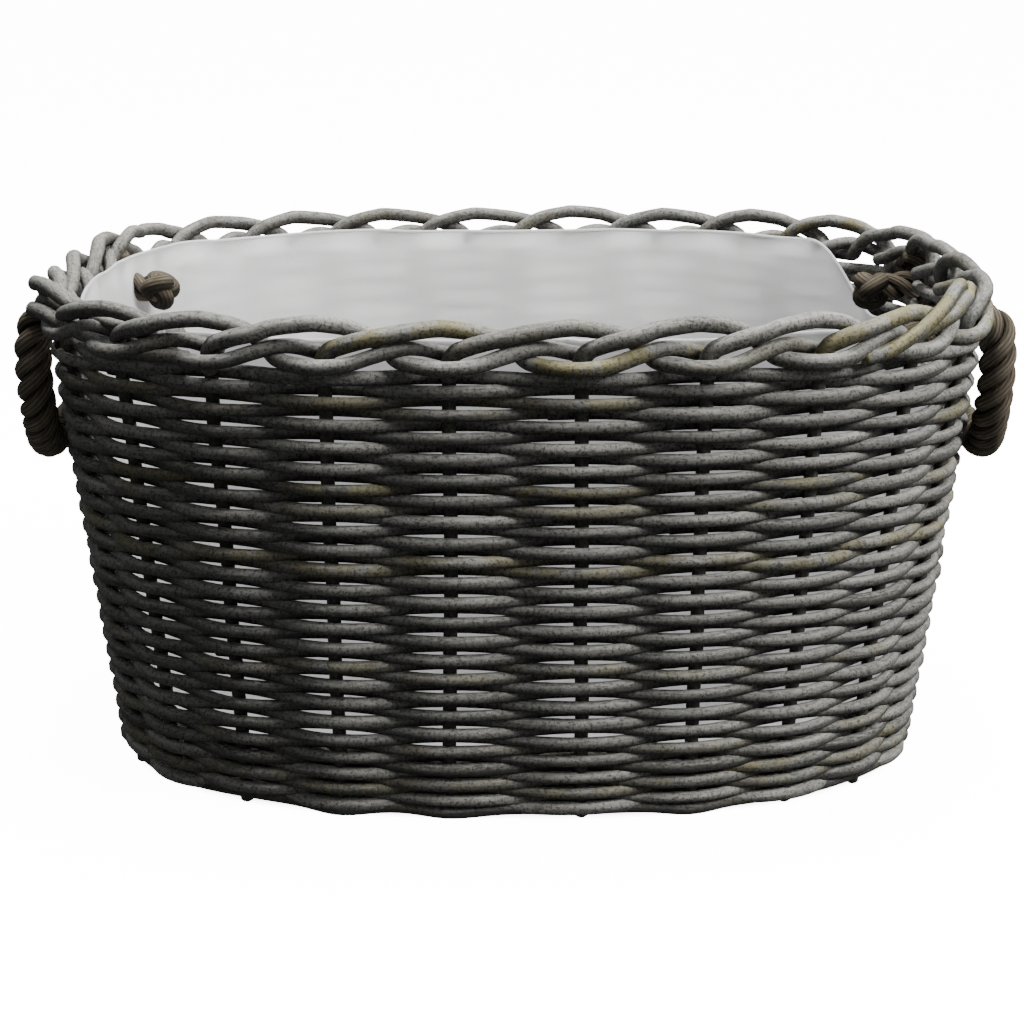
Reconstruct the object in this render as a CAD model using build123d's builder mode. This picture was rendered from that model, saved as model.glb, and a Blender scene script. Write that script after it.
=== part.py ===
from build123d import *
import math
import os

os.makedirs("parts", exist_ok=True)

# ---------------------------------------------------------------- driving sizes (mm)
HALF_W_TOP, HALF_D_TOP, POWER_TOP = 285.0, 210.0, 2.9     # line of the stakes at the rim
HALF_W_BASE, HALF_D_BASE, POWER_BASE = 258.0, 150.0, 2.5  # line of the stakes at the floor
WALL_H = 322.0            # height at which the rim line is taken
STAKE_R = 4.0
WEAVER_R = 2.9
GAP = 0.3                 # clear space between rods that only touch
ROW_PITCH = 6.37
ROW_Z0 = 4.03
ROWS = 45
STAKE_TOP = 291.5
BORDER_R = 3.7
BORDER_Z = 300.0
BASE_Z = 22.0
STICK_R = 4.5
BASE_WEAVER_R = 2.2
LINER_OUT, LINER_T = 13.6, 2.4
LINER_FLOOR_Z, LINER_TOP = 33.6, 297.0
LINER_END_TOP = 258.0     # the liner is cut lower at the right end, round the rope ends
ROPE_R = 10.0
ROPE_Z = 284.4
HOLE_ROWS = 2             # top rows left open where the rope goes through
KNOT_R = 15.0

# stakes in one quarter, as arc length from the middle of the long side to the end
TOP_ARC = [35.0, 103.0, 168.0, 230.0, 291.0, 352.0, 412.0]
BASE_ARC = [40.0, 107.0, 169.0, 223.0, 267.0, 304.0, 337.0]


def curve(a, b, n):
    """Points of a quarter oval from (0,-b) to (a,0), with arc lengths."""
    pts, arc = [], [0.0]
    for k in range(1501):
        t = math.pi / 2 * k / 1500
        s, c = math.sin(t), math.cos(t)
        r = ((s / a) ** n + (c / b) ** n) ** (-1.0 / n)
        pts.append((r * s, -r * c))
        if k:
            arc.append(arc[-1] + math.dist(pts[-1], pts[-2]))
    return pts, arc


def at_fraction(cv, frac):
    pts, arc = cv
    want = max(0.0, min(1.0, frac)) * arc[-1]
    lo, hi = 0, len(arc) - 1
    while hi - lo > 1:
        mid = (lo + hi) // 2
        if arc[mid] <= want:
            lo = mid
        else:
            hi = mid
    f = (want - arc[lo]) / (arc[hi] - arc[lo])
    return (pts[lo][0] + f * (pts[hi][0] - pts[lo][0]),
            pts[lo][1] + f * (pts[hi][1] - pts[lo][1]))


TOP_CV = curve(HALF_W_TOP, HALF_D_TOP, POWER_TOP)
BASE_CV = curve(HALF_W_BASE, HALF_D_BASE, POWER_BASE)
TOP_F = [s / TOP_ARC[-1] for s in TOP_ARC]
BASE_F = [s / BASE_ARC[-1] for s in BASE_ARC]
N = 26


def full(cv, frac_of, u):
    """Point at station coordinate u (0..26, whole numbers are stakes).
    Station 0 is the first stake right of the front middle, going towards +X."""
    u = u % N
    # unfold to a quarter: position v in stake steps from the front middle
    nodes = [-frac_of[0]] + frac_of
    # stations 0..6 front right quarter up to the right end
    if u <= 6:
        q, sx, sy = u, 1, 1
    elif u <= 12:
        q, sx, sy = 12 - u, 1, -1
    elif u < 13:
        q, sx, sy = 12 - u, 1, -1
    elif u <= 19:
        q, sx, sy = u - 13, -1, -1
    elif u <= 25:
        q, sx, sy = 25 - u, -1, 1
    else:
        q, sx, sy = 25 - u, -1, 1
    # q in -1..6, where -1..0 crosses the middle of a long side
    i = math.floor(q)
    f = q - i
    if q < 0:
        fr = nodes[0] + (q + 1) * (nodes[1] - nodes[0])
    elif i >= 6:
        fr = frac_of[6]
    else:
        fr = frac_of[i] + f * (frac_of[i + 1] - frac_of[i])
    if fr < 0:
        fr, sx = -fr, -sx
    x, y = at_fraction(cv, fr)
    return (sx * x, sy * y)


def wall(u, z):
    """Point of the wall's middle line at station coordinate u and height z."""
    a, b = full(TOP_CV, TOP_F, u), full(BASE_CV, BASE_F, u)
    f = z / WALL_H
    return (b[0] + f * (a[0] - b[0]), b[1] + f * (a[1] - b[1]))


def normal(u, z):
    p, q = wall(u - 0.25, z), wall(u + 0.25, z)
    tx, ty = q[0] - p[0], q[1] - p[1]
    d = math.hypot(tx, ty)
    return (ty / d, -tx / d)


def off(u, z, r):
    p, n = wall(u, z), normal(u, z)
    return (p[0] + r * n[0], p[1] + r * n[1], z)


def tube_ring(points, rad):
    """Closed rod through the given corner points, mitred at each corner."""
    m = [(p + q) / 2 for p, q in zip(points[0], points[-1])]
    with BuildPart() as rod:
        with BuildLine() as ln:
            Polyline(tuple(m), *points, tuple(m))
        w = ln.wires()[0]
        with BuildSketch(Plane(origin=w @ 0, z_dir=w % 0)):
            Circle(rad)
        sweep(path=w, transition=Transition.RIGHT)
    return rod.part


def tube_mitred(points, rad):
    with BuildPart() as rod:
        with BuildLine() as ln:
            Polyline(*points)
        w = ln.wires()[0]
        with BuildSketch(Plane(origin=w @ 0, z_dir=w % 0)):
            Circle(rad)
        sweep(path=w, transition=Transition.RIGHT)
    return rod.part


def tube_open(points, rad, bend):
    with BuildPart() as rod:
        with BuildLine() as ln:
            FilletPolyline(*points, radius=bend)
        w = ln.wires()[0]
        with BuildSketch(Plane(origin=w @ 0, z_dir=w % 0)):
            Circle(rad)
        sweep(path=w)
    return rod.part


SIDE = STAKE_R * 1.02 + WEAVER_R + GAP


def in_front(u, k):
    return (u + k) % 2 == 0


def weave_points(us, k, lead=None):
    """Corner points of a weaver: clear of each stake, outside one and inside the next."""
    z = ROW_Z0 + ROW_PITCH * k
    raw = [off(u, z, SIDE * (1 if in_front(u, k) else -1)) for u in us]
    if lead is None:
        before, after = raw[-1], raw[0]
    else:
        before, after = off(us[0] - lead, z, 0.0), off(us[-1] + lead, z, 0.0)
    chain = [before] + raw + [after]
    out = []
    for i, u in enumerate(us):
        n = normal(u, z)
        worst = 1.0
        for a, b in ((chain[i], chain[i + 1]), (chain[i + 1], chain[i + 2])):
            d = math.dist(a, b)
            worst = min(worst, abs(n[0] * (b[1] - a[1]) - n[1] * (b[0] - a[0])) / d)
        out.append(off(u, z, (SIDE / worst + 0.05) * (1 if in_front(u, k) else -1)))
    return out if lead is None else [before] + out + [after]


def row(k):
    return tube_ring(weave_points(list(range(N)), k), WEAVER_R)


def row_piece(k, first, last, lead):
    """Part of a row from station first to station last, with short tails."""
    return tube_mitred(weave_points(list(range(first, last + 1)), k, lead), WEAVER_R)


def export(parts, name):
    with BuildPart() as group:
        for p in parts:
            add(p)
    group.part.label = name
    export_step(group.part, "parts/%s.step" % name)
    print(name, len(group.part.solids()), "solids", round(group.part.volume / 1000, 1), "cm3")
    return group.part


# ---------------------------------------------------------------- stakes
def stake(i):
    x0, y0 = wall(i, 0.0)
    x1, y1 = wall(i, STAKE_TOP)
    z_dir = Vector(x1 - x0, y1 - y0, STAKE_TOP)
    unit = z_dir.normalized()
    start = Vector(x0, y0, 0.0) - unit * 5.0
    with BuildPart() as st:
        with BuildSketch(Plane(origin=start, z_dir=z_dir)):
            Circle(STAKE_R)
        extrude(amount=z_dir.length + 10.0)
        # butt end cut level with the floor, top cut level under the border rod
        with Locations((0, 0, STAKE_TOP / 2)):
            Box(900, 900, STAKE_TOP, mode=Mode.INTERSECT)
    return st.part


with BuildPart() as stakes_front:
    for i in (20, 21, 22, 23, 24, 25, 0, 1, 2, 3, 4, 5):
        add(stake(i))
with BuildPart() as stakes_back:
    for i in (7, 8, 9, 10, 11, 12, 13, 14, 15, 16, 17, 18):
        add(stake(i))
with BuildPart() as stakes_ends:
    for i in (6, 19):
        add(stake(i))
for grp, nm in ((stakes_front, "stakes_front"), (stakes_back, "stakes_back"), (stakes_ends, "stakes_ends")):
    grp.part.label = nm
    export_step(grp.part, "parts/%s.step" % nm)
    print(nm, len(grp.part.solids()), grp.part.bounding_box())

# ---------------------------------------------------------------- woven rows
BANDS = (("foot_rows", range(0, 5)), ("lower_rows", range(5, 18)), ("middle_rows", range(18, 31)),
         ("upper_rows", range(31, ROWS - HOLE_ROWS)))
for nm, ks in BANDS:
    export([row(k) for k in ks], nm)
top = []
for k in range(ROWS - HOLE_ROWS, ROWS):
    # four runs, stopping each side of the four rope holes
    top.append(row_piece(k, -5, 4, 0.2))
    top.append(row_piece(k, 5, 7, 0.2))
    top.append(row_piece(k, 8, 17, 0.2))
    top.append(row_piece(k, 18, 20, 0.2))
export(top, "top_rows")

# ---------------------------------------------------------------- border
# one rod for each stake: up over the next stake, down behind the rod after it,
# out round the second stake and in behind the third.  (bay steps, outward, up)
BORDER_PATH = [(0, 0, STAKE_TOP + 1.0 - BORDER_Z), (0, 0, -1.0), (0.26, 4, 6.5), (0.43, 4.5, 11.3), (0.6, 2, 15.6),
               (0.8, -1, 17), (1.0, -2.5, 16.5), (1.26, -5.5, 11.6), (1.43, -5.4, 5), (1.6, -1.5, -0.5),
               (1.8, 6, -2.8), (2.0, 9.6, -3.2), (2.26, 8.3, -2), (2.43, 5.5, 2), (2.6, 2.6, 6.8),
               (2.8, -3.9, 6.1), (2.97, -9.2, 3)]


def border_points(i):
    return [off(i + du, BORDER_Z + dz, r) for du, r, dz in BORDER_PATH]


BORDER_FRONT = [tube_open(border_points(i), BORDER_R, 6.0) for i in (20, 21, 22, 23, 24, 25, 0, 1, 2, 3, 4, 5, 6)]
BORDER_BACK = [tube_open(border_points(i), BORDER_R, 6.0) for i in range(7, 20)]
export(BORDER_FRONT, "border_rods_front")
export(BORDER_BACK, "border_rods_back")

# ---------------------------------------------------------------- base
CROSS_R, LONG_R = 5.6, 3.4
SLATH_X = [7.0, 24.0, 44.0, 66.0]
SLATH_END = [36.0, 36.0, 34.0, 30.0]
SLATH_Y = [-24.0, -12.0, 0.0, 12.0, 24.0]
STICK_END = -14.0
slath = {}
for i in range(4):
    slath[i], slath[12 - i] = (SLATH_X[i], -SLATH_END[i]), (SLATH_X[i], SLATH_END[i])
    slath[25 - i], slath[13 + i] = (-SLATH_X[i], -SLATH_END[i]), (-SLATH_X[i], SLATH_END[i])
for j in range(5):
    slath[4 + j] = (80.0, SLATH_Y[j])
    slath[21 - j] = (-80.0, SLATH_Y[j])


def stick_points(p, q):
    a, b = off(p, BASE_Z, STICK_END), off(q, BASE_Z, STICK_END)
    s, t = slath[p], slath[q]
    return [a, (s[0], s[1], BASE_Z), (t[0], t[1], BASE_Z), b]


def stick(p, q, rad):
    pts = stick_points(p, q)
    if abs(pts[0][0] * (pts[1][1] - pts[2][1]) - pts[0][1] * (pts[1][0] - pts[2][0])) < 1e-6:
        pts = [pts[0], pts[3]]
        with BuildPart() as rod:
            with BuildLine() as ln:
                Line(*pts)
            with BuildSketch(Plane(origin=ln.line @ 0, z_dir=ln.line % 0)):
                Circle(rad)
            sweep(path=ln.line)
        return rod.part
    return tube_open(pts, rad, 14.0)


LONG = [stick(4 + j, 21 - j, LONG_R) for j in range(5)]
LONG_CUT = [stick(4 + j, 21 - j, LONG_R + 0.15) for j in range(5)]
CROSS = []
for i in range(4):
    for p, q in ((i, 12 - i), (25 - i, 13 + i)):
        with BuildPart() as pierced:
            add(stick(p, q, CROSS_R))
            for c in LONG_CUT:
                add(c, mode=Mode.SUBTRACT)
        CROSS.append(pierced.part)
export(CROSS, "base_cross_sticks")
export(LONG, "base_long_sticks")

ROUNDS, ROUND_IN, ROUND_OUT = 10, 0.36, 0.87      # how many, and where they lie along the open stick ends


def round_points(t, k):
    """A base round goes over one stick and under the next, clear of both."""
    mid, axis, need = [], [], []
    for u in range(N):
        s, o = slath[u], off(u, BASE_Z, STICK_END)
        d = math.hypot(o[0] - s[0], o[1] - s[1])
        mid.append((s[0] + t * (o[0] - s[0]), s[1] + t * (o[1] - s[1])))
        axis.append(((o[0] - s[0]) / d, (o[1] - s[1]) / d))
        need.append((CROSS_R if (u <= 3 or 9 <= u <= 16 or u >= 22) else LONG_R) + BASE_WEAVER_R + GAP)
    rise = list(need)
    for _ in range(12):
        pts = [(p[0], p[1], BASE_Z + (rise[u] if (u + k) % 2 else -rise[u])) for u, p in enumerate(mid)]
        for u in range(N):
            worst = 1.0
            for v in (u - 1, (u + 1) % N):
                rx, ry, rz = (pts[v][i] - pts[u][i] for i in range(3))
                side = axis[u][0] * ry - axis[u][1] * rx
                length = math.sqrt(rz * rz + side * side)
                worst = min(worst, abs(side) / length)
            rise[u] = need[u] / worst + 0.05
    return pts


rounds = []
for k in range(ROUNDS):
    t = ROUND_IN + (ROUND_OUT - ROUND_IN) * k / (ROUNDS - 1)
    rounds.append(tube_ring(round_points(t, k), BASE_WEAVER_R))
base_rounds = export(rounds, "base_rounds")
print("base rounds", base_rounds.bounding_box())

# two plain rods that bind the edge of the base, under the stick ends
EDGE_R = 3.2
edge = []
for z in (5.8, 5.8 + 2 * EDGE_R + GAP):
    edge.append(tube_ring([off(u / 2.0, z, -14.5) for u in range(2 * N)], EDGE_R))
export(edge, "base_edge_rods")

# ---------------------------------------------------------------- where the rope goes through the wall
ROPE_U = 4.5                      # half way between two stakes


def rope_line(side, back):
    """Outer end and knot centre of the rope where it passes through the wall."""
    ox, oy, _ = off(ROPE_U, ROPE_Z, 13.2)
    ix, iy, _ = off(ROPE_U, ROPE_Z, -32.0)
    sy = -1 if back else 1
    return Vector(side * ox, sy * oy, ROPE_Z), Vector(side * ix, sy * iy, ROPE_Z)


# ---------------------------------------------------------------- cloth liner
FLOOR_T = 2.0
LINER_Z0 = base_rounds.bounding_box().max.Z + 0.4


def liner_section(z, r):
    pts = [off(u / 2.0, z, r)[:2] for u in range(2 * N)]
    with BuildSketch(Plane.XY.offset(z)) as sk:
        with BuildLine():
            Spline(*pts, periodic=True)
        make_face()
    return sk.sketch


with BuildPart() as liner_wall:
    add(loft([liner_section(LINER_Z0, -LINER_OUT), liner_section(LINER_TOP, -LINER_OUT)]))
    add(loft([liner_section(LINER_Z0 - 1, -LINER_OUT - LINER_T), liner_section(LINER_TOP + 1, -LINER_OUT - LINER_T)]),
        mode=Mode.SUBTRACT)
    # lowered at the right end, pierced for the rope at the left end
    with Locations((270, 0, (LINER_END_TOP + 400) / 2)):
        Box(150, 236, 400 - LINER_END_TOP, mode=Mode.SUBTRACT)
    for back in (False, True):
        o, i = rope_line(-1, back)
        with Locations(Plane(origin=i, z_dir=o - i)):
            Cylinder(ROPE_R + 0.3, 100, mode=Mode.SUBTRACT)
liner_wall.part.label = "liner_wall"
export_step(liner_wall.part, "parts/liner_wall.step")
print("liner_wall", len(liner_wall.part.solids()), liner_wall.part.bounding_box())

with BuildPart() as liner_floor:
    add(extrude(liner_section(LINER_Z0, -LINER_OUT - LINER_T - 0.2), amount=FLOOR_T))
liner_floor.part.label = "liner_floor"
export_step(liner_floor.part, "parts/liner_floor.step")

# ---------------------------------------------------------------- rope handles
HINGE_OUT = 24.0
hx, hy, _ = off(ROPE_U, ROPE_Z, HINGE_OUT)
hy = abs(hy)
print("handle hinge", round(hx, 2), round(hy, 2), ROPE_Z)
LOOP = [(-hy, ROPE_Z), (-hy + 8.5, 236.0), (-46.0, 210.0), (46.0, 210.0), (hy - 8.5, 236.0), (hy, ROPE_Z)]


def bend_radii(points):
    """Each corner's arc: 0.45 of its shorter run over the tangent of half its turn."""
    out = []
    for a, b, c in zip(points, points[1:], points[2:]):
        v1 = [q - p for p, q in zip(a, b)]
        v2 = [q - p for p, q in zip(b, c)]
        l1, l2 = math.hypot(*v1), math.hypot(*v2)
        turn = math.acos(sum(p * q for p, q in zip(v1, v2)) / l1 / l2)
        out.append(0.45 * min(l1, l2) / math.tan(turn / 2))
    return out


def handle(side):
    pts = [(side * hx, y, z) for y, z in LOOP]
    radii = bend_radii(pts)
    with BuildPart() as rope:
        with BuildLine() as ln:
            FilletPolyline(*pts, radius=radii)
        w = ln.wires()[0]
        with BuildSketch(Plane(origin=w @ 0, z_dir=w % 0)):
            Circle(ROPE_R)
        sweep(path=w)
        tube = rope.part.volume
        # round tops, centred on the line the handle swings about
        with Locations(pts[0], pts[-1]):
            Sphere(ROPE_R)
    print("handle", side, "radii", [round(r, 1) for r in radii], "length", round(w.length, 1),
          "volume", round(tube), "section x length", round(math.pi * ROPE_R ** 2 * w.length),
          "solids", len(rope.part.solids()))
    return rope.part


def rope_end(side, back):
    """Rope through the wall with its stopper knot inside, turned about the rope's own line."""
    o, i = rope_line(side, back)
    length = (o - i).length
    rad = ROPE_R - 0.4
    neck = math.sqrt(KNOT_R ** 2 - rad ** 2)
    with BuildPart() as end:
        with BuildSketch(Plane(origin=i, x_dir=(o - i).normalized(), z_dir=(o - i).cross(Vector(0, 0, 1)).normalized())):
            with BuildLine():
                l1 = Line((-KNOT_R, 0), (length, 0))
                l2 = Line((length, 0), (length, rad))
                l3 = Line((length, rad), (neck, rad))
                ThreePointArc((neck, rad), (0, KNOT_R), (-KNOT_R, 0))
            make_face()
        revolve(axis=Axis(i, o - i), revolution_arc=360)
    return end.part


for side, nm in ((-1, "left"), (1, "right")):
    h = handle(side)
    h.label = "rope_handle_" + nm
    export_step(h, "parts/rope_handle_%s.step" % nm)
    export([rope_end(side, False), rope_end(side, True)], "rope_ends_" + nm)
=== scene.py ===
import math
import random
import bpy
import numpy as np
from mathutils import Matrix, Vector, noise


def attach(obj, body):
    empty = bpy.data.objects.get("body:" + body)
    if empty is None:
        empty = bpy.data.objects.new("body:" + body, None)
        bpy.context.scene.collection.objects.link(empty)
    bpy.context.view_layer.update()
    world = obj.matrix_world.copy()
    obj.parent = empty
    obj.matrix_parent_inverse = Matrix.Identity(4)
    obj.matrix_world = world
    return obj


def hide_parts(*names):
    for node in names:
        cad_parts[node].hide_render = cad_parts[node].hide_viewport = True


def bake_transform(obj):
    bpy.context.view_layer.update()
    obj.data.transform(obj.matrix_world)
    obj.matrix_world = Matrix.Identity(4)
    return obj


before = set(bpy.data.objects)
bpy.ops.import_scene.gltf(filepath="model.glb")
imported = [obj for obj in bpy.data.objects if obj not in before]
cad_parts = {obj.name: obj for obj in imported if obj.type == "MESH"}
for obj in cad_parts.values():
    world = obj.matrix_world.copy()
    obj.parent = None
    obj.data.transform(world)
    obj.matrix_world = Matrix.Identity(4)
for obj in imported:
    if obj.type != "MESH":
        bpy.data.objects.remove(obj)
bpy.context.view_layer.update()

rng = random.Random(20)
BODY = "basket"

# ------------------------------------------------------------------ camera
cam_data = bpy.data.cameras.new("camera")
cam = bpy.data.objects.new("camera", cam_data)
bpy.context.scene.collection.objects.link(cam)
cam_data.sensor_width = 36.0
cam_data.lens = 1913.0 / 1024.0 * 36.0
cam_data.shift_x = -0.0034
cam_data.shift_y = -0.001
cam_data.clip_end = 50.0
cam.location = (0.0, -1.216, 0.526)
cam.rotation_euler = (math.radians(90.0 - 17.2), 0.0, 0.0)
bpy.context.scene.camera = cam

# ------------------------------------------------------------------ the basket's plan, in metres
N = 26
TOP = (0.285, 0.210, 2.9)
BASE = (0.258, 0.150, 2.5)
TOP_ARC = [35.0, 103.0, 168.0, 230.0, 291.0, 352.0, 412.0]
BASE_ARC = [40.0, 107.0, 169.0, 223.0, 267.0, 304.0, 337.0]
WALL_H = 0.322
PITCH = 0.00637
ROW_Z0 = 0.00403
ROWS = 45


def quarter(a, b, n):
    t = np.linspace(0, math.pi / 2, 1501)
    s, c = np.sin(t), np.cos(t)
    r = ((s / a) ** n + (c / b) ** n) ** (-1.0 / n)
    p = np.stack([r * s, -r * c], 1)
    arc = np.concatenate([[0], np.cumsum(np.linalg.norm(np.diff(p, axis=0), axis=1))])
    return p, arc / arc[-1]


SUB = 64


def outline(shape, arcs):
    p, arc = quarter(*shape)
    f = [s / arcs[-1] for s in arcs]
    # fractions of the quarter at station coordinates -0.5 .. 6
    q = np.arange(0, 7 * SUB + 1) / SUB - 0.5
    q = q[q <= 6.0 + 1e-9]
    fr = np.interp(q, [-0.5] + list(range(7)), [0.0] + f)
    quarter_pts = np.stack([np.interp(fr, arc, p[:, 0]), np.interp(fr, arc, p[:, 1])], 1)
    q_pts = quarter_pts                                   # u -0.5 .. 6, front right
    right_back = q_pts[::-1][1:] * np.array([1, -1])      # u 6 .. 12.5
    left_back = (q_pts * np.array([-1, -1]))[1:]          # u 12.5 .. 19
    left_front = (q_pts[::-1] * np.array([-1, 1]))[1:]    # u 19 .. 25.5
    ring = np.concatenate([q_pts, right_back, left_back, left_front])[:-1]
    return ring                                           # N*SUB points, from u = -0.5


TOP_RING = outline(TOP, TOP_ARC)
BASE_RING = outline(BASE, BASE_ARC)
COUNT = len(TOP_RING)


def wall(u, z):
    """Middle line of the wall at station coordinate u and height z (arrays allowed)."""
    u = np.asarray(u, float)
    z = np.asarray(z, float)
    s = ((u + 0.5) % N) * SUB
    i = np.floor(s).astype(int)
    f = (s - i)[..., None]
    i = i % COUNT
    j = (i + 1) % COUNT
    a = TOP_RING[i] * (1 - f) + TOP_RING[j] * f
    b = BASE_RING[i] * (1 - f) + BASE_RING[j] * f
    h = (z / WALL_H)[..., None]
    return b + (a - b) * h


def off(u, z, r):
    u, z, r = np.broadcast_arrays(np.asarray(u, float), np.asarray(z, float), np.asarray(r, float))
    p = wall(u, z)
    d = wall(u + 0.3, z) - wall(u - 0.3, z)
    d = d / np.linalg.norm(d, axis=-1, keepdims=True)
    n = np.stack([d[..., 1], -d[..., 0]], -1)
    xy = p + n * r[..., None]
    return np.concatenate([xy, z[..., None]], -1)


def wobble(t, seed, scale=1.0):
    """Smooth noise of one variable, about -1 .. 1."""
    return np.array([noise.noise((float(x) * scale, seed * 7.31 + 0.5, seed * 1.7)) for x in np.ravel(t)]) * 1.6


# ------------------------------------------------------------------ mesh making
class Rods:
    """Collects swept rods into one mesh, with a length/angle UV and a tint per rod."""

    def __init__(self, name):
        self.name = name
        self.v, self.f, self.uv, self.tint, self.n = [], [], [], [], 0
        self.age, self.up, self.dirt = [], [], []

    def add(self, pts, rad, sides=10, tint=0.5, age=0.0, closed=False, caps=True, seed=0.0, dirt=0.0, outward=None):
        pts = np.asarray(pts, float)
        m = len(pts)
        rad = np.broadcast_to(np.asarray(rad, float), (m,)).copy()
        if closed:
            tan = np.roll(pts, -1, 0) - np.roll(pts, 1, 0)
        else:
            tan = np.gradient(pts, axis=0)
        tan /= np.linalg.norm(tan, axis=1, keepdims=True) + 1e-12
        # parallel transport
        nrm = np.zeros_like(pts)
        ref = np.array([0, 0, 1.0]) if abs(tan[0][2]) < 0.9 else np.array([1.0, 0, 0])
        x = ref - tan[0] * ref.dot(tan[0])
        nrm[0] = x / np.linalg.norm(x)
        for i in range(1, m):
            x = nrm[i - 1] - tan[i] * nrm[i - 1].dot(tan[i])
            nrm[i] = x / (np.linalg.norm(x) + 1e-12)
        bi = np.cross(tan, nrm)
        ang = np.arange(sides) / sides * 2 * math.pi
        c, s = np.cos(ang), np.sin(ang)
        ring = (nrm[:, None, :] * c[None, :, None] + bi[:, None, :] * s[None, :, None]) * rad[:, None, None]
        co = pts[:, None, :] + ring
        length = np.concatenate([[0], np.cumsum(np.linalg.norm(np.diff(pts, axis=0), axis=1))]) + seed
        base = self.n
        self.v.append(co.reshape(-1, 3))
        self.n += m * sides
        self.tint.append(np.full(m * sides, tint))
        self.age.append(np.full(m * sides, age))
        # up: how far each face points up, or away from the rope's axis when outward is given; the materials turn it
        # into painted highlight and shade
        if outward is None:
            self.up.append((ring[..., 2] / rad[:, None]).ravel())
        else:
            self.up.append(((ring * outward[:, None, :]).sum(-1) / rad[:, None]).ravel())
        # per-point amount of painted shade
        self.dirt.append(np.repeat(np.broadcast_to(np.asarray(dirt, float), (m,)), sides))
        last = m if closed else m - 1
        for i in range(last):
            j = (i + 1) % m
            l0 = length[i]
            l1 = length[i + 1] if i + 1 < m else length[i] + np.linalg.norm(pts[0] - pts[-1])
            for k in range(sides):
                k2 = (k + 1) % sides
                self.f.append((base + i * sides + k, base + i * sides + k2, base + j * sides + k2, base + j * sides + k))
                a0, a1 = k / sides, (k + 1) / sides
                self.uv.extend(((l0, a0), (l0, a1), (l1, a1), (l1, a0)))
        if caps and not closed:
            for i, flip in ((0, True), (m - 1, False)):
                t = -tan[0] if i == 0 else tan[-1]
                # a slightly domed cut end
                inner = pts[i] + ring[i] * 0.72 + t * rad[i] * 0.28
                b2 = self.n
                self.v.append(np.concatenate([inner, [pts[i] + t * rad[i] * 0.34]]))
                self.n += sides + 1
                self.tint.append(np.full(sides + 1, min(1.0, tint + 0.25)))
                self.age.append(np.full(sides + 1, age))
                self.up.append(np.full(sides + 1, 0.4))
                self.dirt.append(np.zeros(sides + 1))
                for k in range(sides):
                    k2 = (k + 1) % sides
                    q = (base + i * sides + k, base + i * sides + k2, b2 + k2, b2 + k)
                    tri = (b2 + k, b2 + k2, b2 + sides)
                    if not flip:
                        q = q
                    else:
                        q, tri = q[::-1], tri[::-1]
                    self.f.append(q)
                    self.f.append(tri)
                    self.uv.extend([(length[i], 0.1)] * 4)
                    self.uv.extend([(length[i], 0.1)] * 3)

    def build(self, mat, slot, nodes=(), body=BODY):
        me = bpy.data.meshes.new(self.name)
        v = np.concatenate(self.v)
        me.from_pydata(v.tolist(), [], self.f)
        uvl = me.uv_layers.new(name="rod")
        uvl.data.foreach_set("uv", np.asarray(self.uv, np.float32).ravel())
        at = me.attributes.new("tint", "FLOAT", "POINT")
        at.data.foreach_set("value", np.concatenate(self.tint).astype(np.float32))
        for nm, val in (("age", self.age), ("up", self.up), ("dirt", self.dirt)):
            at = me.attributes.new(nm, "FLOAT", "POINT")
            at.data.foreach_set("value", np.concatenate(val).astype(np.float32))
        me.polygons.foreach_set("use_smooth", [True] * len(me.polygons))
        me.update()
        me.materials.append(mat)
        ob = bpy.data.objects.new(self.name, me)
        bpy.context.scene.collection.objects.link(ob)
        if body:
            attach(ob, body)
        if nodes:
            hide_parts(*nodes)
        return ob


def catmull(ctrl, per=8):
    ctrl = np.asarray(ctrl, float)
    p = np.concatenate([[2 * ctrl[0] - ctrl[1]], ctrl, [2 * ctrl[-1] - ctrl[-2]]])
    out = []
    for i in range(1, len(p) - 2):
        p0, p1, p2, p3 = p[i - 1], p[i], p[i + 1], p[i + 2]
        t = (np.arange(per) / per)[:, None]
        out.append(0.5 * ((2 * p1) + (-p0 + p2) * t + (2 * p0 - 5 * p1 + 4 * p2 - p3) * t ** 2
                          + (-p0 + 3 * p1 - 3 * p2 + p3) * t ** 3))
    out.append(p[-2][None])
    return np.concatenate(out)


# ------------------------------------------------------------------ materials
def new_mat(name):
    m = bpy.data.materials.new(name)
    m.use_nodes = True
    nt = m.node_tree
    for n in list(nt.nodes):
        nt.nodes.remove(n)
    out = nt.nodes.new("ShaderNodeOutputMaterial")
    bs = nt.nodes.new("ShaderNodeBsdfPrincipled")
    nt.links.new(bs.outputs[0], out.inputs[0])
    return m, nt, bs


def ramp(nt, fac, stops):
    r = nt.nodes.new("ShaderNodeValToRGB")
    el = r.color_ramp.elements
    el[0].position, el[0].color = stops[0][0], (*stops[0][1], 1)
    el[1].position, el[1].color = stops[-1][0], (*stops[-1][1], 1)
    for p, c in stops[1:-1]:
        e = el.new(p)
        e.color = (*c, 1)
    nt.links.new(fac, r.inputs[0])
    return r.outputs[0]


def mix(nt, fac, a, b, mode="MIX"):
    m = nt.nodes.new("ShaderNodeMix")
    m.data_type = "RGBA"
    m.blend_type = mode
    for sock, val in ((m.inputs[0], fac), (m.inputs[6], a), (m.inputs[7], b)):
        if hasattr(val, "links") or hasattr(val, "is_linked"):
            nt.links.new(val, sock)
        elif isinstance(val, (tuple, list)):
            sock.default_value = (*val, 1) if len(val) == 3 else val
        else:
            sock.default_value = val
    return m.outputs[2]


def math_node(nt, op, a, b=0.0, clamp=False):
    m = nt.nodes.new("ShaderNodeMath")
    m.operation = op
    m.use_clamp = clamp
    for sock, val in ((m.inputs[0], a), (m.inputs[1], b)):
        if hasattr(val, "is_linked"):
            nt.links.new(val, sock)
        else:
            sock.default_value = val
    return m.outputs[0]


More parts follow.
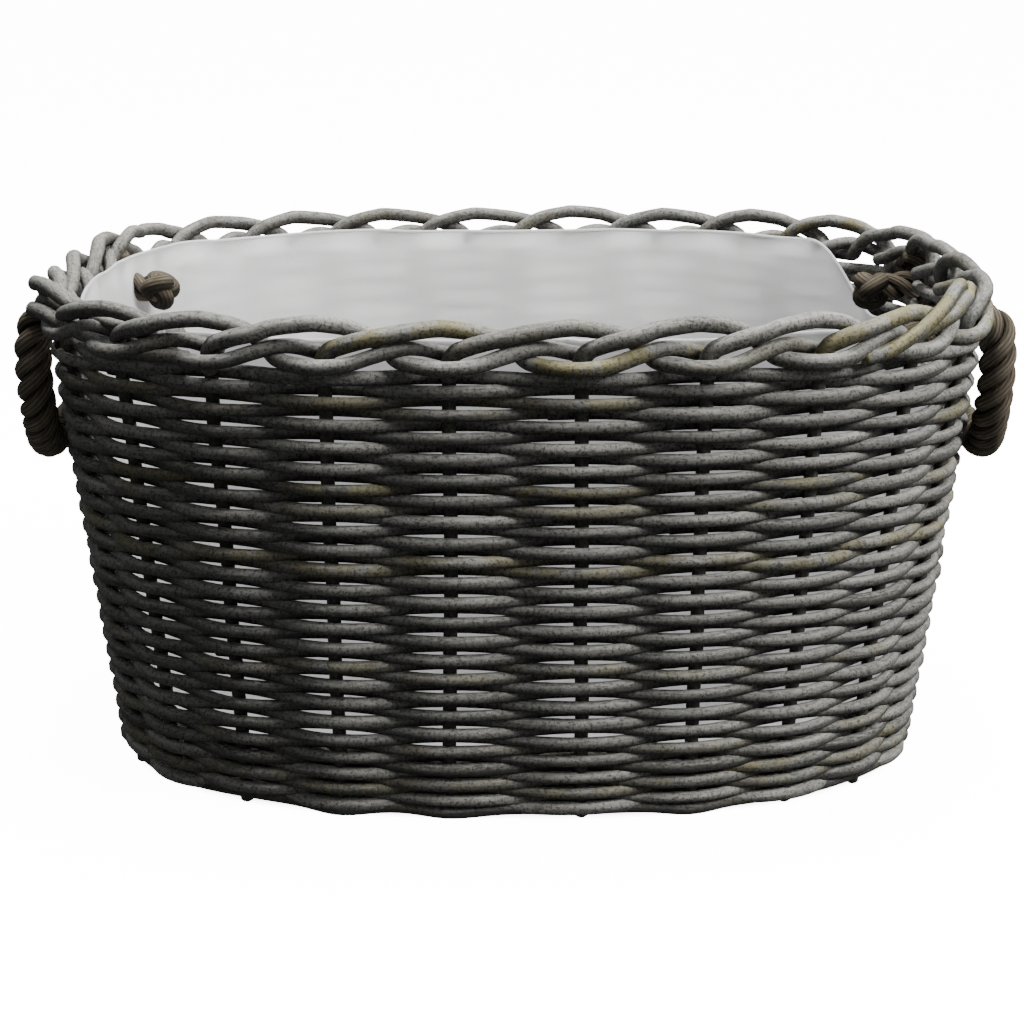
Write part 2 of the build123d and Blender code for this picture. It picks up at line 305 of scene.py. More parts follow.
def noise_tex(nt, vec, scale, detail=3.0, rough=0.55):
    n = nt.nodes.new("ShaderNodeTexNoise")
    n.inputs["Scale"].default_value = scale
    n.inputs["Detail"].default_value = detail
    n.inputs["Roughness"].default_value = rough
    if vec is not None:
        nt.links.new(vec, n.inputs["Vector"])
    return n.outputs["Fac"]


def willow(name, dark, light, olive_amount=0.25, spot=0.8, underside_shade=0.34):
    """Weathered grey willow: pale bloom and a painted highlight on top, painted shade below, long streaks, cross
    cracks, dark specks.
    """
    m, nt, bs = new_mat(name)
    uv = nt.nodes.new("ShaderNodeUVMap")
    uv.uv_map = "rod"
    obj = nt.nodes.new("ShaderNodeTexCoord").outputs["Object"]

    def attr(nm):
        a = nt.nodes.new("ShaderNodeAttribute")
        a.attribute_name = nm
        return a.outputs["Fac"]

    tint, age, up, dirt = attr("tint"), attr("age"), attr("up"), attr("dirt")

    def mapped(sx, sy):
        mp = nt.nodes.new("ShaderNodeMapping")
        mp.inputs["Scale"].default_value = (sx, sy, 1.0)
        nt.links.new(uv.outputs[0], mp.inputs[0])
        return mp.outputs[0]

    streak = noise_tex(nt, mapped(30.0, 6.0), 1.0, 6.0, 0.65)
    fine = noise_tex(nt, mapped(190.0, 16.0), 1.0, 4.0, 0.7)
    cross = noise_tex(nt, mapped(850.0, 3.2), 1.0, 2.0, 0.5)
    blotch = noise_tex(nt, obj, 48.0, 4.0, 0.6)
    specks = noise_tex(nt, obj, 520.0, 4.0, 0.75)
    base = ramp(nt, streak, [(0.30, dark), (0.46, tuple(a * 0.55 + b * 0.45 for a, b in zip(dark, light))), (0.66, light)])
    # rod to rod lightness
    tl = ramp(nt, tint, [(0.0, (0.38, 0.38, 0.38)), (0.5, (1.0, 1.0, 1.0)), (1.0, (1.75, 1.73, 1.68))])
    base = mix(nt, 1.0, base, tl, "MULTIPLY")
    # olive and brown bark left on some rods
    pf = ramp(nt, blotch, [(0.40, (0, 0, 0)), (0.56, (1, 1, 1))])
    pf = math_node(nt, "MULTIPLY", pf, math_node(nt, "ADD", age, olive_amount * 0.3), True)
    base = mix(nt, pf, base, mix(nt, streak, (0.085, 0.074, 0.032), (0.26, 0.235, 0.12)))
    # pale bloom, kept to the upper sides of the rods, so it also works as a painted highlight
    bf = math_node(nt, "MULTIPLY", ramp(nt, fine, [(0.40, (0, 0, 0)), (0.70, (0.7, 0.7, 0.7))]),
                   ramp(nt, up, [(0.05, (0, 0, 0)), (0.7, (1, 1, 1))]))
    base = mix(nt, math_node(nt, "MULTIPLY", bf, math_node(nt, "SUBTRACT", 1.0, math_node(nt, "MULTIPLY", pf, 0.7))),
               base, tuple(min(1.0, c * 1.6) for c in light))
    # dark mould in specks; their thickening towards the underside is painted shade
    lean = math_node(nt, "SUBTRACT", specks, math_node(nt, "MULTIPLY", up, 0.055))
    sf = ramp(nt, lean, [(0.475, (0, 0, 0)), (0.62, (spot, spot, spot))])
    base = mix(nt, sf, base, (0.020, 0.0195, 0.017))
    cf = ramp(nt, cross, [(0.60, (0, 0, 0)), (0.72, (0.42, 0.42, 0.42))])
    base = mix(nt, cf, base, (0.030, 0.029, 0.026))
    # painted shade on the undersides and a painted highlight on the tops, from the way each face points
    low = ramp(nt, math_node(nt, "ADD", math_node(nt, "MULTIPLY", up, 0.5), 0.5),
               [(0.12, (underside_shade, underside_shade, underside_shade)), (0.52, (0.62, 0.62, 0.62)), (0.86, (1.12, 1.12, 1.12))])
    base = mix(nt, 1.0, base, low, "MULTIPLY")
    # painted shade where the rods pass behind the stakes, and over the rod under the lowest row
    base = mix(nt, dirt, base, mix(nt, 1.0, base, (0.22, 0.22, 0.22), "MULTIPLY"))
    nt.links.new(base, bs.inputs["Base Color"])
    rr = ramp(nt, fine, [(0.3, (0.85, 0.85, 0.85)), (0.8, (0.62, 0.62, 0.62))])
    nt.links.new(rr, bs.inputs["Roughness"])
    bs.inputs["Specular IOR Level"].default_value = 0.3
    h = math_node(nt, "ADD", math_node(nt, "MULTIPLY", streak, 0.8), math_node(nt, "MULTIPLY", fine, 0.5))
    h = math_node(nt, "SUBTRACT", h, math_node(nt, "MULTIPLY", cf, 0.5))
    h = math_node(nt, "SUBTRACT", h, math_node(nt, "MULTIPLY", sf, 0.3))
    bump = nt.nodes.new("ShaderNodeBump")
    bump.inputs["Strength"].default_value = 0.7
    bump.inputs["Distance"].default_value = 0.0009
    nt.links.new(h, bump.inputs["Height"])
    nt.links.new(bump.outputs[0], bs.inputs["Normal"])
    return m


M_WEAVE = willow("willow_weave", (0.052, 0.051, 0.047), (0.215, 0.213, 0.201))
M_STAKE = willow("willow_stake", (0.028, 0.027, 0.025), (0.095, 0.093, 0.086), underside_shade=0.5)
M_BORDER = willow("willow_border", (0.058, 0.057, 0.053), (0.215, 0.213, 0.201), 0.3)
M_BASE = willow("willow_base", (0.030, 0.028, 0.025), (0.10, 0.095, 0.085), underside_shade=0.3)


def cloth_mat():
    m, nt, bs = new_mat("liner_cloth")
    obj = nt.nodes.new("ShaderNodeTexCoord").outputs["Object"]
    n1 = noise_tex(nt, obj, 9.0, 3.0)
    n2 = noise_tex(nt, obj, 900.0, 1.0)
    base = ramp(nt, n1, [(0.3, (0.78, 0.78, 0.78)), (0.7, (0.86, 0.86, 0.86))])
    base = mix(nt, ramp(nt, n2, [(0.4, (0, 0, 0)), (0.7, (0.25, 0.25, 0.25))]), base, (0.72, 0.72, 0.72))
    nt.links.new(base, bs.inputs["Base Color"])
    bs.inputs["Roughness"].default_value = 0.8
    bs.inputs["Sheen Weight"].default_value = 0.1
    wave = nt.nodes.new("ShaderNodeTexWave")
    wave.inputs["Scale"].default_value = 500.0
    nt.links.new(obj, wave.inputs["Vector"])
    bump = nt.nodes.new("ShaderNodeBump")
    bump.inputs["Strength"].default_value = 0.12
    bump.inputs["Distance"].default_value = 0.0003
    nt.links.new(math_node(nt, "ADD", wave.outputs["Fac"], n2), bump.inputs["Height"])
    nt.links.new(bump.outputs[0], bs.inputs["Normal"])
    return m


M_CLOTH = cloth_mat()


def let_light_through(m, share):
    """Thin cloth: part of the light on one side comes out of the other."""
    nt = m.node_tree
    out = next(n for n in nt.nodes if n.type == "OUTPUT_MATERIAL")
    bs = next(n for n in nt.nodes if n.type == "BSDF_PRINCIPLED")
    tr = nt.nodes.new("ShaderNodeBsdfTranslucent")
    col = bs.inputs["Base Color"].links[0].from_socket
    nt.links.new(col, tr.inputs["Color"])
    mx = nt.nodes.new("ShaderNodeMixShader")
    mx.inputs[0].default_value = share
    nt.links.new(bs.outputs[0], mx.inputs[1])
    nt.links.new(tr.outputs[0], mx.inputs[2])
    nt.links.new(mx.outputs[0], out.inputs[0])


let_light_through(M_CLOTH, 0.5)


def rope_mat():
    """Coarse natural fibre: yarns twisted against the lay, with painted shade in the grooves between yarns and between
    strands, and loose hairs' streaks.
    """
    m, nt, bs = new_mat("rope_fibre")
    uv = nt.nodes.new("ShaderNodeUVMap")
    uv.uv_map = "rod"
    sep = nt.nodes.new("ShaderNodeSeparateXYZ")
    nt.links.new(uv.outputs[0], sep.inputs[0])
    turns = math_node(nt, "ADD", math_node(nt, "MULTIPLY", sep.outputs[0], -75.0), math_node(nt, "MULTIPLY", sep.outputs[1], 13.0))
    yarn = math_node(nt, "SINE", math_node(nt, "MULTIPLY", turns, 2 * math.pi))
    yarn = math_node(nt, "ADD", math_node(nt, "MULTIPLY", yarn, 0.5), 0.5)
    obj = nt.nodes.new("ShaderNodeTexCoord").outputs["Object"]
    mp = nt.nodes.new("ShaderNodeMapping")
    mp.inputs["Scale"].default_value = (110.0, 34.0, 1.0)
    nt.links.new(uv.outputs[0], mp.inputs[0])
    fib = noise_tex(nt, mp.outputs[0], 1.0, 6.0, 0.75)
    n2 = noise_tex(nt, obj, 90.0, 4.0)
    base = ramp(nt, fib, [(0.30, (0.050, 0.042, 0.031)), (0.5, (0.130, 0.108, 0.078)), (0.72, (0.25, 0.215, 0.165))])
    base = mix(nt, ramp(nt, n2, [(0.45, (0, 0, 0)), (0.7, (0.6, 0.6, 0.6))]), base, (0.085, 0.070, 0.048))
    # painted shade in the grooves between the yarns
    base = mix(nt, 1.0, base, ramp(nt, yarn, [(0.0, (0.5, 0.49, 0.47)), (0.45, (0.9, 0.9, 0.9)), (1.0, (1.08, 1.08, 1.08))]), "MULTIPLY")
    # painted shade on the strand faces turned in towards the rope's axis, between the strands
    outw = nt.nodes.new("ShaderNodeAttribute")
    outw.attribute_name = "up"
    base = mix(nt, 1.0, base, ramp(nt, outw.outputs["Fac"], [(0.0, (0.10, 0.095, 0.085)), (0.35, (0.45, 0.44, 0.42)), (0.85, (0.85, 0.85, 0.85))]), "MULTIPLY")
    nt.links.new(base, bs.inputs["Base Color"])
    bs.inputs["Roughness"].default_value = 0.92
    bs.inputs["Specular IOR Level"].default_value = 0.2
    bump = nt.nodes.new("ShaderNodeBump")
    bump.inputs["Strength"].default_value = 0.9
    bump.inputs["Distance"].default_value = 0.0007
    h = math_node(nt, "ADD", math_node(nt, "MULTIPLY", yarn, 0.6), math_node(nt, "MULTIPLY", fib, 0.8))
    nt.links.new(h, bump.inputs["Height"])
    nt.links.new(bump.outputs[0], bs.inputs["Normal"])
    return m


M_ROPE = rope_mat()

# ------------------------------------------------------------------ rope handles
ROPE_D = 0.020
ROPE_U = 4.5
ROPE_Z = 0.2844
HINGE = off(ROPE_U, ROPE_Z, 0.024)
HX, HY = float(HINGE[0]), abs(float(HINGE[1]))
WALL_PT = off(ROPE_U, ROPE_Z, 0.0)


def route(side):
    w0 = off(ROPE_U - 0.10, 0.2975, -0.004)
    w1 = off(ROPE_U - 0.13, 0.3035, 0.013)
    half = [(float(w0[0]), -abs(float(w0[1])), 0.2975), (float(w1[0]), -abs(float(w1[1])), 0.3035),
            (0.2885, -0.0990, 0.272), (0.2885, -0.0910, 0.238), (0.2960, -0.0490, 0.2085)]
    mid = [(0.2990, 0.0, 0.2060)]
    other = [(x, -y, z) for x, y, z in half[::-1]]
    return [(side * x, y, z) for x, y, z in half + mid + other]


def spline_points(name, pts):
    cu = bpy.data.curves.new(name, "CURVE")
    cu.dimensions = "3D"
    cu.resolution_u = 24
    sp = cu.splines.new("NURBS")
    sp.points.add(len(pts) - 1)
    for p, c in zip(sp.points, pts):
        p.co = (*c, 1.0)
    sp.order_u = 3
    sp.use_endpoint_u = True
    ob = bpy.data.objects.new(name, cu)
    bpy.context.scene.collection.objects.link(ob)
    dg = bpy.context.evaluated_depsgraph_get()
    me = bpy.data.meshes.new_from_object(ob.evaluated_get(dg))
    out = [tuple(v.co) for v in me.vertices]
    bpy.data.objects.remove(ob)
    bpy.data.curves.remove(cu)
    bpy.data.meshes.remove(me)
    return np.array(out)


def resample(pts, step):
    seg = np.linalg.norm(np.diff(pts, axis=0), axis=1)
    s = np.concatenate([[0], np.cumsum(seg)])
    n = max(2, int(round(s[-1] / step)))
    t = np.linspace(0, s[-1], n + 1)
    return np.stack([np.interp(t, s, pts[:, k]) for k in range(3)], 1), s[-1]


def laid_rope(rods, pts, diameter, lay=0.046, strands=3, phase=0.0, hand=1.0, yarns=True):
    """Strands laid round a centre line; each strand is one tube here, its yarns left to the rope material."""
    p, length = resample(pts, 0.0016)
    tan = np.gradient(p, axis=0)
    tan /= np.linalg.norm(tan, axis=1, keepdims=True)
    nrm = np.zeros_like(p)
    ref = np.array([0, 1.0, 0]) if abs(tan[0][1]) < 0.9 else np.array([0, 0, 1.0])
    x = ref - tan[0] * ref.dot(tan[0])
    nrm[0] = x / np.linalg.norm(x)
    for i in range(1, len(p)):
        x = nrm[i - 1] - tan[i] * nrm[i - 1].dot(tan[i])
        nrm[i] = x / np.linalg.norm(x)
    bi = np.cross(tan, nrm)
    s = np.linspace(0, length, len(p))
    rs = diameter / 2 * 0.475         # strand radius
    rc = diameter / 2 - rs            # strand centre distance
    for k in range(strands):
        a = hand * 2 * math.pi * s / lay + 2 * math.pi * k / strands + phase
        w = nrm * np.cos(a)[:, None] + bi * np.sin(a)[:, None]
        rods.add(p + w * rc, rs * 1.0, sides=18, tint=0.5, seed=k * 3.7, outward=w)
    return length


for side, label in ((-1, "left"), (1, "right")):
    pts = spline_points("route_" + label, route(side))
    rr = Rods("rope_handle_" + label + "_strands")
    length = laid_rope(rr, pts, 0.0225, lay=0.041, hand=1.0)
    ob = rr.build(M_ROPE, "rope_fibre", ["rope_handle_" + label], None)
    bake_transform(ob)

# ------------------------------------------------------------------ woven rows
PER = 10


def in_hole(u):
    for h in (4.4, 7.6, 17.4, 20.6):
        d = abs(((u - h + N / 2) % N) - N / 2)
        if d < 0.29:
            return True
    return False


bands = {"foot_rows": Rods("randing_foot"), "lower_rows": Rods("randing_lower"), "middle_rows": Rods("randing_middle"),
         "upper_rows": Rods("randing_upper"), "top_rows": Rods("randing_top")}
for k in range(ROWS):
    band = ("foot_rows" if k < 5 else "lower_rows" if k < 18 else "middle_rows" if k < 31 else
            "upper_rows" if k < 43 else "top_rows")
    z = ROW_Z0 + PITCH * k + 0.0038 * max(0.0, 1 - k / 5.0) + 0.0034 * max(0.0, (k - 37) / 7.0) ** 1.5
    # joins: a new rod starts where the last one's tip runs out
    joins = []
    u = rng.uniform(0, 9)
    while u < N - 4:
        joins.append(u)
        u += rng.uniform(8, 13)
    if not joins:
        joins = [0.0]
    for a, b in zip(joins, joins[1:] + [joins[0] + N]):
        # start and end just past a stake, on the inside
        def inside(v):
            v = round(v)
            return v if (v + k) % 2 else v + 1
        ua, ub = inside(a) - 0.25, inside(b) + 0.3
        n = int((ub - ua) * PER) + 1
        uu = np.linspace(ua, ub, n)
        t = (uu - ua) / (ub - ua)
        s = np.cos(math.pi * (uu + k))
        amp = 0.0050 if k >= 8 else 0.0045
        r = amp * (1.10 * s - 0.10 * s ** 3)
        sd = k * 1.37 + a
        r = r + 0.0005 * wobble(uu, sd, 0.9)
        zz = z + 0.0006 * wobble(uu, sd + 11, 0.7)
        rad = 0.00415 - 0.0006 * t + 0.00024 * wobble(uu, sd + 5, 0.8)
        if k < 8:
            rad = rad + 0.0002 * (1 - k / 10.0)
        thick = rng.uniform(-0.0002, 0.0003)
        tint = min(1, max(0, rng.gauss(0.47, 0.2)))
        age = rng.uniform(0.3, 0.9) if rng.random() < 0.22 else 0.0
        pts = off(uu, zz, r)
        # painted shade along the stretches that pass behind the stakes
        dirt = np.clip((-s - 0.05) / 0.7, 0, 1) * 0.25
        if k >= 43:
            # these rods stop each side of the rope holes
            keep = [not in_hole(x) for x in uu]
            start = None
            for i in range(n + 1):
                ok = i < n and keep[i]
                if ok and start is None:
                    start = i
                if not ok and start is not None:
                    if i - start > 4:
                        bands[band].add(pts[start:i], rad[start:i] + thick, 10, tint, age, seed=sd, dirt=dirt[start:i])
                    start = None
        else:
            bands[band].add(pts, rad + thick, 10, tint, age, seed=sd, dirt=dirt)
# the dark rod under the lowest row, sagging at three of the stakes
for ua, ub in ((-2.9, 3.2), (3.0, 9.3), (9.1, 16.4), (16.2, 23.4)):
    uu = np.linspace(ua, ub, int((ub - ua) * 12))
    sag = sum(np.exp(-(((uu - c) % N + N / 2) % N - N / 2) ** 2 / 0.10) for c in (-2.0, -1.0, 1.0, 5.0, 14.0, 19.0))
    zz = 0.0068 - 0.0026 * sag + 0.0003 * wobble(uu, 31.0 + ua, 0.9)
    rr = 0.0010 + 0.0034 * sag + 0.0006 * np.cos(math.pi * uu)
    # the last value, 0.55, darkens this whole rod as painted shade
    bands["foot_rows"].add(off(uu, zz, rr), 0.0039 + 0.0002 * wobble(uu, 45.0 + ua, 0.7), 12, 0.12, 0.25, seed=ua, dirt=0.55)
for nm, rods in bands.items():
    rods.build(M_WEAVE, "weave_willow", [nm])

# ------------------------------------------------------------------ stakes
groups = {"stakes_front": [20, 21, 22, 23, 24, 25, 0, 1, 2, 3, 4, 5], "stakes_back": list(range(7, 19)), "stakes_ends": [6, 19]}
for nm, idx in groups.items():
    rods = Rods("upright_" + nm)
    for i in idx:
        zz = np.linspace(0.0019, 0.296, 24)
        r = 0.0006 * wobble(zz * 30, i + 0.3, 1.0)
        uu = i + 0.012 * wobble(zz * 18, i + 40.0, 1.0)
        rods.add(off(uu, zz, r), 0.0042 - 0.0003 * zz / 0.3, 12, min(1, max(0, rng.gauss(0.45, 0.12))), 0.1, seed=i * 2.1)
    rods.build(M_STAKE, "stake_willow", [nm])

# ------------------------------------------------------------------ border
BORDER = [(0, 0, -12), (0, 0, -3), (0.05, 0.8, 3), (0.15, 2.5, 6.5), (0.3, 4.2, 10), (0.45, 4.3, 12.5), (0.6, 2.5, 14.8),
          (0.88, -0.5, 17), (1.0, -2, 16.5), (1.2, -4.5, 14), (1.35, -5.5, 10.5), (1.5, -4, 3), (1.6, 0, -2.8), (1.8, 6.5, -4.6),
          (2.0, 9.6, -4.8), (2.2, 8.8, -3.2), (2.4, 5.5, 1.0), (2.6, 0.5, 4.5), (2.75, -4, 4), (2.9, -8, 1), (3.05, -10.5, -2)]
front = Rods("border_front")
back = Rods("border_back")
BACK_SIDE = set(range(7, 20))
for i in range(N):
    jz, jr = rng.uniform(-0.9, 1.4), rng.uniform(-0.8, 0.8)
    is_back = i in BACK_SIDE
    ctrl = []
    for du, r, dz in BORDER:
        near = min(abs(((i + du - h + N / 2) % N) - N / 2) for h in (4.5, 7.5, 17.5, 20.5))
        lift = max(0.0, 1 - near / 0.62)
        if 0.2 < du < 0.95:
            dz += 4.0 * lift
        elif 1.1 < du < 2.45:
            dz += 8.5 * lift
        elif 2.45 < du < 2.9:
            dz += 3.0 * lift
        ctrl.append(off(i + du, 0.300 + (dz + jz * (1.0 if 0.5 < du < 1.3 else 0.25)) / 1000.0, (r + jr * 0.5) / 1000.0))
    pts = catmull(ctrl, 7)
    t = np.linspace(0, 1, len(pts))
    rad = 0.0050 - 0.0008 * t + 0.00025 * wobble(t * 9, i * 3.3, 1.0)
    tint = min(1, max(0, rng.gauss(0.52, 0.17)))
    age = 1.0 if i in (2, 3, 8, 24) else max(0.0, rng.gauss(0.08, 0.18))
    (back if is_back else front).add(pts, rad, 14, tint, age, seed=i * 1.9)
# two rods' thick ends stand out past the left corner, and one rod with its bark on climbs over the right corner
for n, ends in enumerate((((-0.2835, -0.0985, 0.3210), (-0.2740, -0.1085, 0.3205), (-0.2560, -0.1280, 0.3140), (-0.2330, -0.1480, 0.3075),
                           (-0.2080, -0.1650, 0.3050), (-0.1850, -0.1735, 0.3065)),
                          ((-0.2845, -0.1040, 0.3065), (-0.2740, -0.1160, 0.3060), (-0.2560, -0.1360, 0.3020), (-0.2330, -0.1570, 0.2975),
                           (-0.2080, -0.1760, 0.2955), (-0.1800, -0.1900, 0.2965)))):
    pts = catmull(ends, 8)
    front.add(pts, 0.0047 - 0.0009 * np.linspace(0, 1, len(pts)), 14, 0.30, 0.1, seed=50.0 + n)
climb = [off(2.35, 0.2955, 0.0085), off(2.60, 0.2985, 0.0085), off(2.95, 0.3075, 0.0070), off(3.30, 0.3165, 0.0030), off(3.65, 0.3225, -0.0030),
         off(3.95, 0.3235, -0.0065), off(4.06, 0.3170, -0.0060), off(4.08, 0.3060, -0.0050), off(4.08, 0.2960, -0.0060)]
pts = catmull(climb, 8)
front.add(pts, 0.0043 - 0.0004 * np.linspace(0, 1, len(pts)), 14, 0.5, 1.6, seed=61.0)
front.build(M_BORDER, "border_willow", ["border_rods_front"])
back.build(M_BORDER, "border_willow", ["border_rods_back"])

# ------------------------------------------------------------------ liner
def liner_top(u):
    """Height of the liner's edge: lower round the rope ends at the right."""
    d = np.abs(((u - 6 + N / 2) % N) - N / 2)
    f = np.clip((d - 1.85) / 1.25, 0, 1)
    f = f * f * (3 - 2 * f)
    return 0.262 + (0.3065 - 0.262) * f


def liner_wall():
    cols, rows_ = N * 14, 40
    uu = np.arange(cols) / cols * N
    v = np.linspace(0, 1, rows_)
    co = np.zeros((rows_, cols, 3))
    top = liner_top(uu) + 0.0012 * wobble(uu, 3.0, 1.2)
    z0 = 0.0365
    for j, t in enumerate(v):
        zz = z0 + (top - z0) * t
        fold = np.array([noise.noise((x * 1.1, t * 1.6, 2.0)) for x in uu])
        fine = np.array([noise.noise((x * 3.1, t * 4.0, 5.0)) for x in uu])
        # pulled in at the floor, lying against the rods above
        bottom = 0.010 * max(0.0, 1 - t / 0.09) ** 2
        r = -0.0150 - 0.0026 * (0.5 + fold) * (0.35 + 0.65 * math.sin(min(1, t * 1.1) * math.pi)) - 0.0007 * (0.5 + fine) - bottom
        co[j] = off(uu, zz, np.minimum(r, -0.0138))
    faces = []
    for j in range(rows_ - 1):
        for i in range(cols):
            i2 = (i + 1) % cols
            faces.append((j * cols + i, j * cols + i2, (j + 1) * cols + i2, (j + 1) * cols + i))
    me = bpy.data.meshes.new("liner_wall_cloth")
    me.from_pydata(co.reshape(-1, 3).tolist(), [], faces)
    me.polygons.foreach_set("use_smooth", [True] * len(me.polygons))
    me.materials.append(M_CLOTH)
    ob = bpy.data.objects.new("liner_wall_cloth", me)
    bpy.context.scene.collection.objects.link(ob)
    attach(ob, BODY)
    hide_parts("liner_wall")
    hem = Rods("liner_hem")
    hem.add(co[-1], 0.0011, 8, closed=True)
    h = hem.build(M_CLOTH, "liner_cloth", [])
    area = 0.0
    a = co
    e1 = np.roll(a, -1, 1)[:-1] - a[:-1]
    e2 = a[1:] - a[:-1]
    area = float(np.linalg.norm(np.cross(e1, e2), axis=-1).sum())
    per = float(np.linalg.norm(np.roll(a[-1], -1, 0) - a[-1], axis=1).sum())
    return ob, h, area, per, co[0]


ob, h, area, per, ring0 = liner_wall()
print("liner wall area", round(area, 4), "perimeter", round(per, 3))


def liner_floor():
    cols = len(ring0)
    rings = 26
    verts = [(0.0, 0.0, 0.0372)]
    for j in range(1, rings + 1):
        t = j / rings
        for i in range(cols):
            x, y, z = ring0[i]
            n = noise.noise((x * t * 14, y * t * 14, 3.3)) * 0.0016 + noise.noise((x * t * 40, y * t * 40, 1.3)) * 0.0005
            verts.append((x * t, y * t, 0.0372 + max(-0.0008, n) * (1 - t ** 6) + 0.0 * z))
    faces = []
    for i in range(cols):
        faces.append((0, 1 + i, 1 + (i + 1) % cols))
    for j in range(rings - 1):
        b0, b1 = 1 + j * cols, 1 + (j + 1) * cols
        for i in range(cols):
            i2 = (i + 1) % cols
            faces.append((b0 + i, b1 + i, b1 + i2, b0 + i2))
    me = bpy.data.meshes.new("liner_floor_cloth")
    me.from_pydata(verts, [], faces)
    me.polygons.foreach_set("use_smooth", [True] * len(me.polygons))
    me.materials.append(M_CLOTH)
    o = bpy.data.objects.new("liner_floor_cloth", me)
    bpy.context.scene.collection.objects.link(o)
    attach(o, BODY)
    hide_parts("liner_floor")
    return o


liner_floor()

# ------------------------------------------------------------------ base
slath = {}
SX, SE = [0.007, 0.024, 0.044, 0.066], [0.036, 0.036, 0.034, 0.030]
SY = [-0.024, -0.012, 0.0, 0.012, 0.024]
for i in range(4):
    slath[i], slath[12 - i] = (SX[i], -SE[i]), (SX[i], SE[i])
    slath[25 - i], slath[13 + i] = (-SX[i], -SE[i]), (-SX[i], SE[i])
for j in range(5):
    slath[4 + j] = (0.080, SY[j])
    slath[21 - j] = (-0.080, SY[j])
BZ = 0.022


def stick(rods, p, q, rad):
    a, b = off(p, BZ, -0.014), off(q, BZ, -0.014)
    s, t = slath[p], slath[q]
    line = [a, np.array(a) * 0.5 + np.array((*s, BZ)) * 0.5, (*s, BZ), (*t, BZ), np.array(b) * 0.5 + np.array((*t, BZ)) * 0.5, b]
    pts = catmull(line, 8)
    rods.add(pts, rad, 14, min(1, max(0, rng.gauss(0.5, 0.15))), 0.2, seed=p * 2.2)


cross, longs = Rods("base_cross"), Rods("base_long")
for i in range(4):
    stick(cross, i, 12 - i, 0.0056)
    stick(cross, 25 - i, 13 + i, 0.0056)
for j in range(5):
    stick(longs, 4 + j, 21 - j, 0.0036)
cross.build(M_BASE, "base_willow", ["base_cross_sticks"])
longs.build(M_BASE, "base_willow", ["base_long_sticks"])
rounds = Rods("base_weave")
for k in range(10):
    t = 0.36 + (0.87 - 0.36) * k / 9
    m = N * 8
    uu = np.arange(m) / 8.0
    sp = np.array([slath[i] for i in range(N)])
    i0 = np.floor(uu).astype(int) % N
    f = (uu - np.floor(uu))[:, None]
    S = sp[i0] * (1 - f) + sp[(i0 + 1) % N] * f
    O = off(uu, BZ, -0.014)[:, :2]
    mid = S + t * (O - S)
    zz = BZ + 0.0089 * np.cos(math.pi * (uu + k + 1))
    pts = np.concatenate([mid, zz[:, None]], 1)
    rounds.add(pts, 0.0025 + 0.0002 * wobble(uu, k + 60.0, 0.5), 10, min(1, max(0, rng.gauss(0.5, 0.15))), 0.2, closed=True, seed=k * 1.1)
rounds.build(M_BASE, "base_willow", ["base_rounds"])
edge = Rods("base_edge")
uu = np.arange(N * 6) / 6.0
for n, z in enumerate((0.0058, 0.0125)):
    edge.add(off(uu, z + 0.0003 * wobble(uu, 80.0 + n, 0.6), -0.0145 + 0.0004 * wobble(uu, 90.0 + n, 0.5)),
             0.0034, 10, 0.4, 0.2, closed=True, seed=n * 2.0)
edge.build(M_BASE, "base_willow", ["base_edge_rods"])

# ------------------------------------------------------------------ rope ends: through the wall, with the knot inside
for side, label in ((-1, "left"), (1, "right")):
    rods = Rods("rope_end_knots_" + label)
    for sy in (-1, 1):
        a = off(ROPE_U, ROPE_Z, -0.032)
        b = off(ROPE_U, 0.2862, 0.001)
        a = np.array([side * a[0], sy * abs(a[1]), ROPE_Z])
        b = np.array([side * b[0], sy * abs(b[1]), 0.2862])
        laid_rope(rods, np.array([a, (a + b) / 2, b]), 0.0195)
        # overhand knot
        d = (b - a) / np.linalg.norm(b - a)
        up = np.array([0, 0, 1.0])
        sidev = np.cross(d, up)
        kn = []
        for q in np.linspace(0, 2 * math.pi, 60):
            x = (math.sin(q) + 2 * math.sin(2 * q)) / 3
            y = (math.cos(q) - 2 * math.cos(2 * q)) / 3
            w = -math.sin(3 * q)
            kn.append(a + sidev * x * 0.0085 + up * y * 0.0085 + d * w * 0.0055)
        rods.add(np.array(kn)[:-1], 0.0058, 12, 0.5, closed=True)
    rods.build(M_ROPE, "rope_fibre", ["rope_ends_" + label])

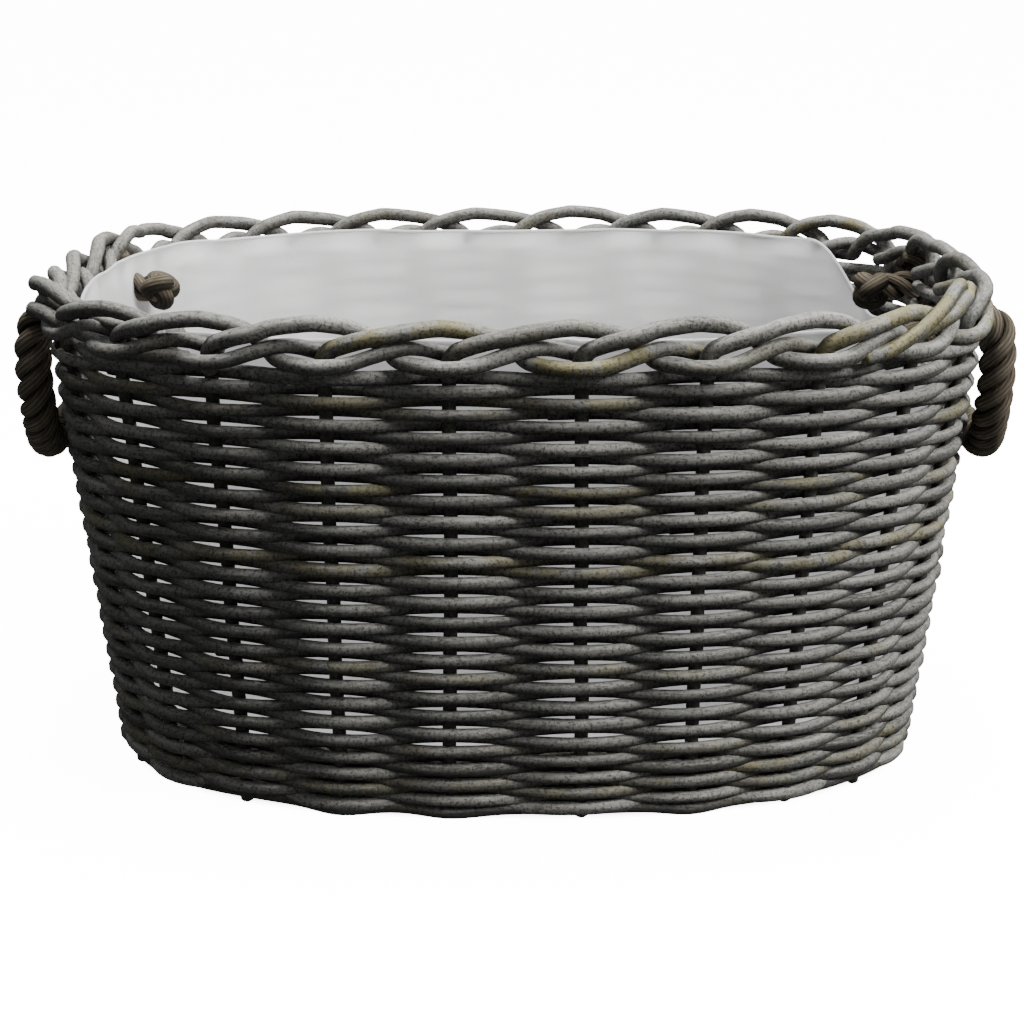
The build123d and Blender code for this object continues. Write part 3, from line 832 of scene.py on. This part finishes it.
# ------------------------------------------------------------------ floor and light
bpy.ops.mesh.primitive_plane_add(size=90.0, location=(0, 0, 0.0))
floor = bpy.context.object
floor.name = "floor"
fm, fnt, fbs = new_mat("floor_white")
fbs.inputs["Roughness"].default_value = 0.9
fbs.inputs["Specular IOR Level"].default_value = 0.0
# shaded below the basket itself: one inside the outline of the foot, zero outside it
pos = fnt.nodes.new("ShaderNodeTexCoord").outputs["Object"]
sep = fnt.nodes.new("ShaderNodeSeparateXYZ")
fnt.links.new(pos, sep.inputs[0])
ex = math_node(fnt, "POWER", math_node(fnt, "DIVIDE", math_node(fnt, "ABSOLUTE", sep.outputs[0]), 0.262), 2.5)
ey = math_node(fnt, "POWER", math_node(fnt, "DIVIDE", math_node(fnt, "ABSOLUTE", sep.outputs[1]), 0.154), 2.5)
rim = math_node(fnt, "ADD", ex, ey)
open_floor = ramp(fnt, math_node(fnt, "MULTIPLY", rim, 0.5), [(0.42, (0, 0, 0)), (0.505, (1, 1, 1))])
fnt.links.new(mix(fnt, open_floor, (0.03, 0.03, 0.03), (0.9, 0.9, 0.9)), fbs.inputs["Base Color"])
fnt.links.new(mix(fnt, open_floor, (0.0, 0.0, 0.0), (1.0, 1.0, 1.0)), fbs.inputs["Emission Color"])
fbs.inputs["Emission Strength"].default_value = 14.0
floor.data.materials.append(fm)
floor.visible_diffuse = False
floor.visible_glossy = False

world = bpy.data.worlds.new("studio")
bpy.context.scene.world = world
world.use_nodes = True
world.node_tree.nodes["Background"].inputs[0].default_value = (0.96, 0.98, 1, 1)
world.node_tree.nodes["Background"].inputs[1].default_value = 0.24


def area_light(name, loc, target, size, energy, color=(1, 1, 1)):
    ld = bpy.data.lights.new(name, "AREA")
    ld.shape = "RECTANGLE"
    ld.size, ld.size_y = size
    ld.energy = energy
    ld.color = color
    lo = bpy.data.objects.new(name, ld)
    lo.location = loc
    d = Vector(target) - Vector(loc)
    lo.rotation_euler = d.to_track_quat("-Z", "Y").to_euler()
    bpy.context.scene.collection.objects.link(lo)
    return lo


area_light("key", (2.8, -1.25, 2.3), (0, 0, 0.15), (1.3, 1.3), 250, (1.0, 0.995, 0.98))
area_light("top", (0.1, -0.1, 3.0), (0, 0, 0.1), (1.0, 1.0), 150)
